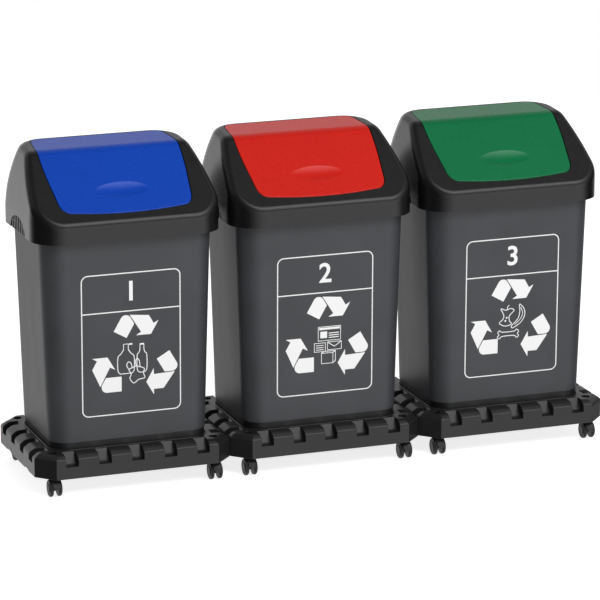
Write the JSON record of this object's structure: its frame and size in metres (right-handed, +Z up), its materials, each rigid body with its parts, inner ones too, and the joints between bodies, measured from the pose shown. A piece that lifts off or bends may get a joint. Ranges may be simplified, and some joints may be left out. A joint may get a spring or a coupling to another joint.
{
  "type": "recycling bin station",
  "caption": "Row of wheeled, docked dollies carrying tapered rectangular bins with domed hoods and colour-coded push flaps for sorting recycling.",
  "frame": {"origin": "on the floor under the middle of the row", "axes": "+Z up, +X along the row of bins to the viewer's right, -Y towards the side the sloping flaps face"},
  "size_m": [1.349, 0.3536, 0.7364],
  "materials": {
    "hood_plastic": "fine moulded texture, black",
    "flap_blue": "satin, blue",
    "flap_red": "satin, red",
    "flap_green": "satin, green",
    "bin_plastic": "fine moulded texture, dark grey",
    "dolly_plastic": "fine moulded texture, black",
    "socket_plastic": "smooth nylon, black",
    "clip_plastic": "smooth nylon, black",
    "caster_plastic": "smooth nylon, dark grey",
    "wheel_plastic": "smooth nylon, black",
    "steel": "bright zinc plating"
  },
  "bodies": {
    "dollies": {"dolly_1": "dolly_plastic", "caster_sockets_1": "socket_plastic", "dolly_2": "dolly_plastic", "caster_sockets_2": "socket_plastic", "dolly_3": "dolly_plastic", "caster_sockets_3": "socket_plastic", "dock_clips_12": "clip_plastic", "dock_clips_23": "clip_plastic"},
    "bin_1": {"bin_body_1": "bin_plastic"},
    "hood_1": {"hood_1": "hood_plastic"},
    "flap_1": {"flap_1": "flap_blue"},
    "bin_2": {"bin_body_2": "bin_plastic"},
    "hood_2": {"hood_2": "hood_plastic"},
    "flap_2": {"flap_2": "flap_red"},
    "bin_3": {"bin_body_3": "bin_plastic"},
    "hood_3": {"hood_3": "hood_plastic"},
    "flap_3": {"flap_3": "flap_green"},
    "caster_11": {"caster_11_fork": "caster_plastic", "caster_11_stem_and_axle": "steel"},
    "caster_11_wheels": {"caster_11_wheels": "wheel_plastic"},
    "caster_12": {"caster_12_fork": "caster_plastic", "caster_12_stem_and_axle": "steel"},
    "caster_12_wheels": {"caster_12_wheels": "wheel_plastic"},
    "caster_13": {"caster_13_fork": "caster_plastic", "caster_13_stem_and_axle": "steel"},
    "caster_13_wheels": {"caster_13_wheels": "wheel_plastic"},
    "caster_14": {"caster_14_fork": "caster_plastic", "caster_14_stem_and_axle": "steel"},
    "caster_14_wheels": {"caster_14_wheels": "wheel_plastic"},
    "caster_21": {"caster_21_fork": "caster_plastic", "caster_21_stem_and_axle": "steel"},
    "caster_21_wheels": {"caster_21_wheels": "wheel_plastic"},
    "caster_22": {"caster_22_fork": "caster_plastic", "caster_22_stem_and_axle": "steel"},
    "caster_22_wheels": {"caster_22_wheels": "wheel_plastic"},
    "caster_23": {"caster_23_fork": "caster_plastic", "caster_23_stem_and_axle": "steel"},
    "caster_23_wheels": {"caster_23_wheels": "wheel_plastic"},
    "caster_24": {"caster_24_fork": "caster_plastic", "caster_24_stem_and_axle": "steel"},
    "caster_24_wheels": {"caster_24_wheels": "wheel_plastic"},
    "caster_31": {"caster_31_fork": "caster_plastic", "caster_31_stem_and_axle": "steel"},
    "caster_31_wheels": {"caster_31_wheels": "wheel_plastic"},
    "caster_32": {"caster_32_fork": "caster_plastic", "caster_32_stem_and_axle": "steel"},
    "caster_32_wheels": {"caster_32_wheels": "wheel_plastic"},
    "caster_33": {"caster_33_fork": "caster_plastic", "caster_33_stem_and_axle": "steel"},
    "caster_33_wheels": {"caster_33_wheels": "wheel_plastic"},
    "caster_34": {"caster_34_fork": "caster_plastic", "caster_34_stem_and_axle": "steel"},
    "caster_34_wheels": {"caster_34_wheels": "wheel_plastic"}
  },
  "joints": [
    {"name": "flap_1_push", "type": "hinge", "parent": "hood_1", "child": "flap_1", "pos_m": [-0.45, -0.02, 0.68881], "axis": [1, 0, 0], "range_deg": [0, 60]},
    {"name": "flap_2_push", "type": "hinge", "parent": "hood_2", "child": "flap_2", "pos_m": [0, -0.02, 0.68881], "axis": [1, 0, 0], "range_deg": [0, 60]},
    {"name": "flap_3_push", "type": "hinge", "parent": "hood_3", "child": "flap_3", "pos_m": [0.45, -0.02, 0.68881], "axis": [1, 0, 0], "range_deg": [0, 60]},
    {"name": "hood_1_lift", "type": "slide", "parent": "bin_1", "child": "hood_1", "axis": [0, 0, 1], "range_m": [0, 0.12]},
    {"name": "bin_1_lift", "type": "slide", "parent": "dollies", "child": "bin_1", "axis": [0, 0, 1], "range_m": [0, 0.12]},
    {"name": "hood_2_lift", "type": "slide", "parent": "bin_2", "child": "hood_2", "axis": [0, 0, 1], "range_m": [0, 0.12]},
    {"name": "bin_2_lift", "type": "slide", "parent": "dollies", "child": "bin_2", "axis": [0, 0, 1], "range_m": [0, 0.12]},
    {"name": "hood_3_lift", "type": "slide", "parent": "bin_3", "child": "hood_3", "axis": [0, 0, 1], "range_m": [0, 0.12]},
    {"name": "bin_3_lift", "type": "slide", "parent": "dollies", "child": "bin_3", "axis": [0, 0, 1], "range_m": [0, 0.12]},
    {"name": "caster_11_swivel", "type": "hinge", "parent": "dollies", "child": "caster_11", "pos_m": [-0.6343, -0.141, 0.0415], "axis": [0, 0, 1], "continuous": true},
    {"name": "caster_11_roll", "type": "hinge", "parent": "caster_11", "child": "caster_11_wheels", "pos_m": [-0.6343, -0.151, 0.019], "axis": [1, 0, 0], "continuous": true},
    {"name": "caster_12_swivel", "type": "hinge", "parent": "dollies", "child": "caster_12", "pos_m": [-0.2657, -0.141, 0.0415], "axis": [0, 0, 1], "continuous": true},
    {"name": "caster_12_roll", "type": "hinge", "parent": "caster_12", "child": "caster_12_wheels", "pos_m": [-0.2657, -0.151, 0.019], "axis": [1, 0, 0], "continuous": true},
    {"name": "caster_13_swivel", "type": "hinge", "parent": "dollies", "child": "caster_13", "pos_m": [-0.6343, 0.141, 0.0415], "axis": [0, 0, 1], "continuous": true},
    {"name": "caster_13_roll", "type": "hinge", "parent": "caster_13", "child": "caster_13_wheels", "pos_m": [-0.6343, 0.131, 0.019], "axis": [1, 0, 0], "continuous": true},
    {"name": "caster_14_swivel", "type": "hinge", "parent": "dollies", "child": "caster_14", "pos_m": [-0.2657, 0.141, 0.0415], "axis": [0, 0, 1], "continuous": true},
    {"name": "caster_14_roll", "type": "hinge", "parent": "caster_14", "child": "caster_14_wheels", "pos_m": [-0.2657, 0.131, 0.019], "axis": [1, 0, 0], "continuous": true},
    {"name": "caster_21_swivel", "type": "hinge", "parent": "dollies", "child": "caster_21", "pos_m": [-0.1843, -0.141, 0.0415], "axis": [0, 0, 1], "continuous": true},
    {"name": "caster_21_roll", "type": "hinge", "parent": "caster_21", "child": "caster_21_wheels", "pos_m": [-0.1843, -0.151, 0.019], "axis": [1, 0, 0], "continuous": true},
    {"name": "caster_22_swivel", "type": "hinge", "parent": "dollies", "child": "caster_22", "pos_m": [0.1843, -0.141, 0.0415], "axis": [0, 0, 1], "continuous": true},
    {"name": "caster_22_roll", "type": "hinge", "parent": "caster_22", "child": "caster_22_wheels", "pos_m": [0.1843, -0.151, 0.019], "axis": [1, 0, 0], "continuous": true},
    {"name": "caster_23_swivel", "type": "hinge", "parent": "dollies", "child": "caster_23", "pos_m": [-0.1843, 0.141, 0.0415], "axis": [0, 0, 1], "continuous": true},
    {"name": "caster_23_roll", "type": "hinge", "parent": "caster_23", "child": "caster_23_wheels", "pos_m": [-0.1843, 0.131, 0.019], "axis": [1, 0, 0], "continuous": true},
    {"name": "caster_24_swivel", "type": "hinge", "parent": "dollies", "child": "caster_24", "pos_m": [0.1843, 0.141, 0.0415], "axis": [0, 0, 1], "continuous": true},
    {"name": "caster_24_roll", "type": "hinge", "parent": "caster_24", "child": "caster_24_wheels", "pos_m": [0.1843, 0.131, 0.019], "axis": [1, 0, 0], "continuous": true},
    {"name": "caster_31_swivel", "type": "hinge", "parent": "dollies", "child": "caster_31", "pos_m": [0.2657, -0.141, 0.0415], "axis": [0, 0, 1], "continuous": true},
    {"name": "caster_31_roll", "type": "hinge", "parent": "caster_31", "child": "caster_31_wheels", "pos_m": [0.2657, -0.151, 0.019], "axis": [1, 0, 0], "continuous": true},
    {"name": "caster_32_swivel", "type": "hinge", "parent": "dollies", "child": "caster_32", "pos_m": [0.6343, -0.141, 0.0415], "axis": [0, 0, 1], "continuous": true},
    {"name": "caster_32_roll", "type": "hinge", "parent": "caster_32", "child": "caster_32_wheels", "pos_m": [0.6343, -0.151, 0.019], "axis": [1, 0, 0], "continuous": true},
    {"name": "caster_33_swivel", "type": "hinge", "parent": "dollies", "child": "caster_33", "pos_m": [0.2657, 0.141, 0.0415], "axis": [0, 0, 1], "continuous": true},
    {"name": "caster_33_roll", "type": "hinge", "parent": "caster_33", "child": "caster_33_wheels", "pos_m": [0.2657, 0.131, 0.019], "axis": [1, 0, 0], "continuous": true},
    {"name": "caster_34_swivel", "type": "hinge", "parent": "dollies", "child": "caster_34", "pos_m": [0.6343, 0.141, 0.0415], "axis": [0, 0, 1], "continuous": true},
    {"name": "caster_34_roll", "type": "hinge", "parent": "caster_34", "child": "caster_34_wheels", "pos_m": [0.6343, 0.131, 0.019], "axis": [1, 0, 0], "continuous": true}
  ]
}
